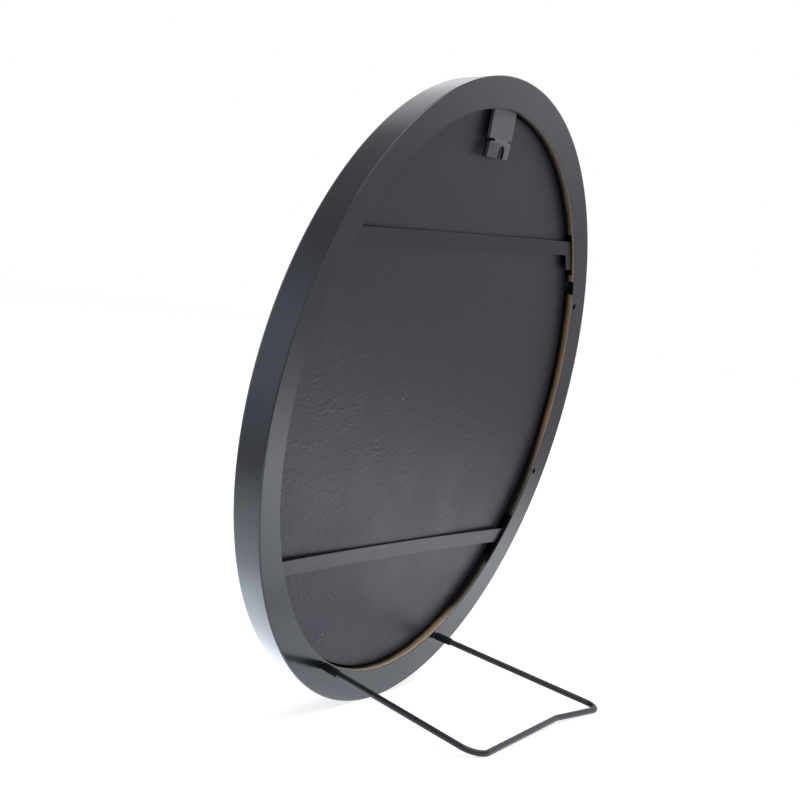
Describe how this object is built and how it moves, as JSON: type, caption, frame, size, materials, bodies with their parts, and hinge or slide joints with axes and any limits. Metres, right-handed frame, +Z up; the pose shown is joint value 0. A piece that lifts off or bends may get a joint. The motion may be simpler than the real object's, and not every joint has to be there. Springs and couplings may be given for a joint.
{
  "type": "round photo frame",
  "caption": "Round standing photo frame with a tapered painted ring, bowed retaining strips, a pressed hanger and a plug-in wire stand.",
  "frame": {"origin": "on the floor under the middle of the bounding box, with the frame standing on its lower edge and its wire stand", "axes": "+Z up, +Y towards the back where the wire stand is, +X to the left as seen from behind"},
  "size_m": [0.2496, 0.0894, 0.247],
  "materials": {
    "ring_paint": "satin black paint over fibreboard",
    "pane": "clear",
    "paper": "plain paper sheet",
    "hardboard": "raw hardboard",
    "facing": "black grained facing paper",
    "strip_metal": "dark lacquered spring steel",
    "hanger_metal": "dark lacquered steel",
    "wire_metal": "black lacquered steel wire",
    "sleeve": "black plastic tube"
  },
  "bodies": {
    "frame": {"frame_ring": "ring_paint", "glass_pane": "pane", "picture_insert": "paper", "backing_board": "hardboard", "board_facing": "facing", "hanger": "hanger_metal"},
    "stand": {"stand_wire": "wire_metal", "stand_sleeves": "sleeve"},
    "upper_retainer": {"upper_strip": "strip_metal"},
    "lower_retainer": {"lower_strip": "strip_metal"}
  },
  "joints": [
    {"name": "stand_pull", "type": "slide", "parent": "frame", "child": "stand", "axis": [0, 0.989, -0.1479], "range_m": [0, 0.0102]},
    {"name": "upper_strip_slide", "type": "slide", "parent": "frame", "child": "upper_retainer", "axis": [0, 0.1479, 0.989], "range_m": [-0.0012, 0.0012]},
    {"name": "lower_strip_slide", "type": "slide", "parent": "frame", "child": "lower_retainer", "axis": [0, 0.1479, 0.989], "range_m": [-0.0011, 0.0018]}
  ]
}
